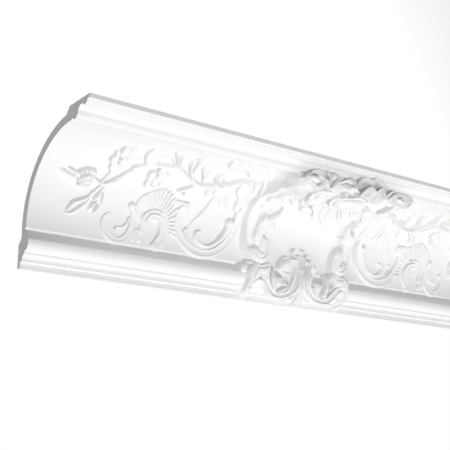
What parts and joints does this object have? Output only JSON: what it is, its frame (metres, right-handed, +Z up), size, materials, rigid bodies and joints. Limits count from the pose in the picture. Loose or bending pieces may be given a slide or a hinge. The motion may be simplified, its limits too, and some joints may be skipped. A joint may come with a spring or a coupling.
{
  "type": "ceiling cornice moulding",
  "caption": "Coved ceiling cornice with a rococo cartouche, scroll and flower relief, cut square at one full pattern, fixed in the corner of wall and ceiling.",
  "frame": {"origin": "middle of the flat wall face, half way along the length and 167 mm below the ceiling", "axes": "+X along the moulding, +Y out of the wall face into the wall, +Z up to the ceiling; the ornament faces -Y and -Z"},
  "size_m": [0.87, 0.176, 0.177],
  "materials": {
    "primed_white": "matt white primer on cast rigid polyurethane"
  },
  "bodies": {
    "root": {"cornice_moulding": "primed_white"}
  },
  "joints": []
}
